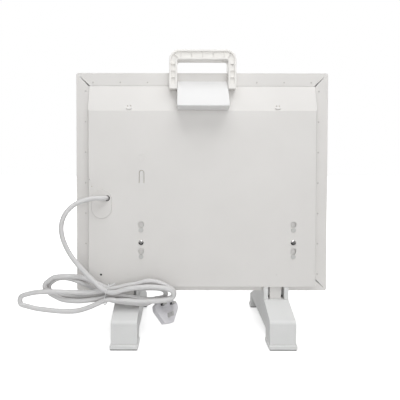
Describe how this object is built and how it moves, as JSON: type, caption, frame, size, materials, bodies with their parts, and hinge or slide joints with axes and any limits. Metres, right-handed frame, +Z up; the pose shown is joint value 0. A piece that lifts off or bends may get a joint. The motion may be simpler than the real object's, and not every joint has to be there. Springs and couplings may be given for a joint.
{
  "type": "infrared panel heater",
  "caption": "Flat steel infrared panel heater on bridge feet, with a carry handle, a sloped control hood, keyhole hangers and a mains cord tied in a hank.",
  "frame": {"origin": "on the floor, midway between the two feet and midway along them", "axes": "+Z up, +Y to the heater's back, where the handle, hood and cord are, +X along the panel's width"},
  "size_m": [0.7193, 0.275, 0.6728],
  "materials": {
    "body_enamel": "satin powder coat",
    "heating_film": "matte",
    "foil": "bright",
    "insulation": "fibrous",
    "zinc_steel": "zinc plated",
    "handle_plastic": "fine satin",
    "hood_plastic": "satin",
    "circuit_board": "solder mask",
    "black_plastic": "matte",
    "wire_sleeve": "braided glass sleeve",
    "stud_steel": "satin",
    "chrome": "polished",
    "foot_plastic": "fine satin",
    "pad_rubber": "matte",
    "core_insulation": "smooth",
    "brass": "plain",
    "rocker_plastic": "gloss",
    "cord_sheath": "soft satin PVC",
    "tie_plastic": "matte",
    "plug_plastic": "satin"
  },
  "bodies": {
    "heater": {"front_pan": "body_enamel", "rear_cover": "body_enamel", "rim_rivets": "body_enamel", "heating_film": "heating_film", "reflector_foil": "foil", "insulation_board": "insulation", "board_retainers": "zinc_steel", "handle": "handle_plastic", "handle_screws": "zinc_steel", "hood_shell": "hood_plastic", "hood_screws": "zinc_steel", "control_board": "circuit_board", "board_parts": "black_plastic", "control_harness": "wire_sleeve", "hanger_rail_left": "body_enamel", "hanger_rail_right": "body_enamel", "rail_studs": "stud_steel", "lock_screws": "chrome", "foot_socket_left": "zinc_steel", "foot_socket_right": "zinc_steel", "cord_cover_plate": "handle_plastic", "cord_grommet": "pad_rubber", "cord_clamp": "handle_plastic", "terminal_block": "handle_plastic", "supply_cores": "core_insulation", "film_leads": "core_insulation", "room_sensor": "black_plastic", "tilt_switch": "black_plastic", "thermal_cutouts": "zinc_steel", "earth_stud": "brass", "power_switch_body": "black_plastic", "cord_lead": "cord_sheath", "cord_hank": "cord_sheath", "cord_tail": "cord_sheath", "twist_tie": "tie_plastic", "plug_body": "plug_plastic", "plug_pins": "stud_steel", "plug_pin_sleeves": "black_plastic", "plug_fuse_carrier": "plug_plastic", "plug_fuse": "brass", "plug_strain_relief": "plug_plastic"},
    "left_foot": {"foot_shell_left": "foot_plastic", "foot_bracket_left": "body_enamel", "foot_pads_left": "pad_rubber", "foot_screws_left": "zinc_steel"},
    "right_foot": {"foot_shell_right": "foot_plastic", "foot_bracket_right": "body_enamel", "foot_pads_right": "pad_rubber", "foot_screws_right": "zinc_steel"},
    "rocker": {"power_switch_rocker": "rocker_plastic"}
  },
  "joints": [
    {"name": "left_foot_slide", "type": "slide", "parent": "heater", "child": "left_foot", "axis": [0, 0, -1], "range_m": [0, 0.055]},
    {"name": "right_foot_slide", "type": "slide", "parent": "heater", "child": "right_foot", "axis": [0, 0, -1], "range_m": [0, 0.055]},
    {"name": "rocker_tilt", "type": "hinge", "parent": "heater", "child": "rocker", "pos_m": [0.293, 0.0285, 0.43], "axis": [0, -1, 0], "range_deg": [0, 12]}
  ]
}
